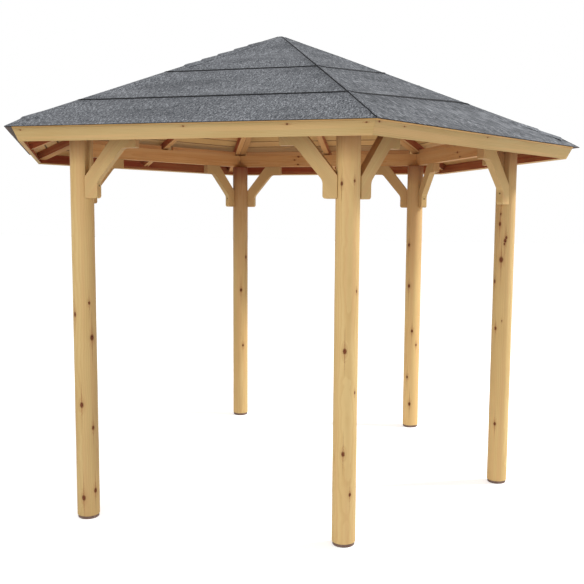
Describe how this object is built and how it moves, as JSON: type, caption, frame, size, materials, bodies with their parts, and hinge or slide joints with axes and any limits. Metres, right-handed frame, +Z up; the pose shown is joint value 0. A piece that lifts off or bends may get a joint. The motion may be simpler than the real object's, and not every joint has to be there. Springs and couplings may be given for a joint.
{
  "type": "gazebo",
  "caption": "Open hexagonal garden gazebo: round timber posts, curved knee braces, ring beam and a low pyramid roof of boards under felt, for shade and shelter outdoors.",
  "frame": {"origin": "on the ground at the centre of the circle the posts stand on", "axes": "+Z up through the roof's point, +X outward through one post, so that one side of the hexagon faces +Y and the opposite one faces -Y"},
  "size_m": [3.8728, 3.354, 2.9241],
  "materials": {
    "post_wood": "satin",
    "foot_pads": "matte",
    "beam_wood": "satin",
    "brace_wood": "satin",
    "rafter_wood": "satin",
    "fascia_wood": "satin",
    "deck_boards": "satin",
    "roof_felt": "matte"
  },
  "bodies": {
    "root": {"post_feet": "foot_pads", "post_right": "post_wood", "post_back_right": "post_wood", "post_back_left": "post_wood", "post_left": "post_wood", "post_front_left": "post_wood", "post_front_right": "post_wood", "ring_beam_back_right": "beam_wood", "ring_beam_back": "beam_wood", "ring_beam_back_left": "beam_wood", "ring_beam_front_left": "beam_wood", "ring_beam_front": "beam_wood", "ring_beam_front_right": "beam_wood", "braces_back_right": "brace_wood", "braces_back": "brace_wood", "braces_back_left": "brace_wood", "braces_front_left": "brace_wood", "braces_front": "brace_wood", "braces_front_right": "brace_wood", "hip_rafter_right": "rafter_wood", "hip_rafter_back_right": "rafter_wood", "hip_rafter_back_left": "rafter_wood", "hip_rafter_left": "rafter_wood", "hip_rafter_front_left": "rafter_wood", "hip_rafter_front_right": "rafter_wood", "mid_rafters": "rafter_wood", "eaves_strips": "beam_wood", "fascia_back_right": "fascia_wood", "fascia_back": "fascia_wood", "fascia_back_left": "fascia_wood", "fascia_front_left": "fascia_wood", "fascia_front": "fascia_wood", "fascia_front_right": "fascia_wood", "roof_deck_back_right": "deck_boards", "roof_deck_back": "deck_boards", "roof_deck_back_left": "deck_boards", "roof_deck_front_left": "deck_boards", "roof_deck_front": "deck_boards", "roof_deck_front_right": "deck_boards", "roof_felt_back_right": "roof_felt", "roof_felt_back": "roof_felt", "roof_felt_back_left": "roof_felt", "roof_felt_front_left": "roof_felt", "roof_felt_front": "roof_felt", "roof_felt_front_right": "roof_felt"}
  },
  "joints": []
}
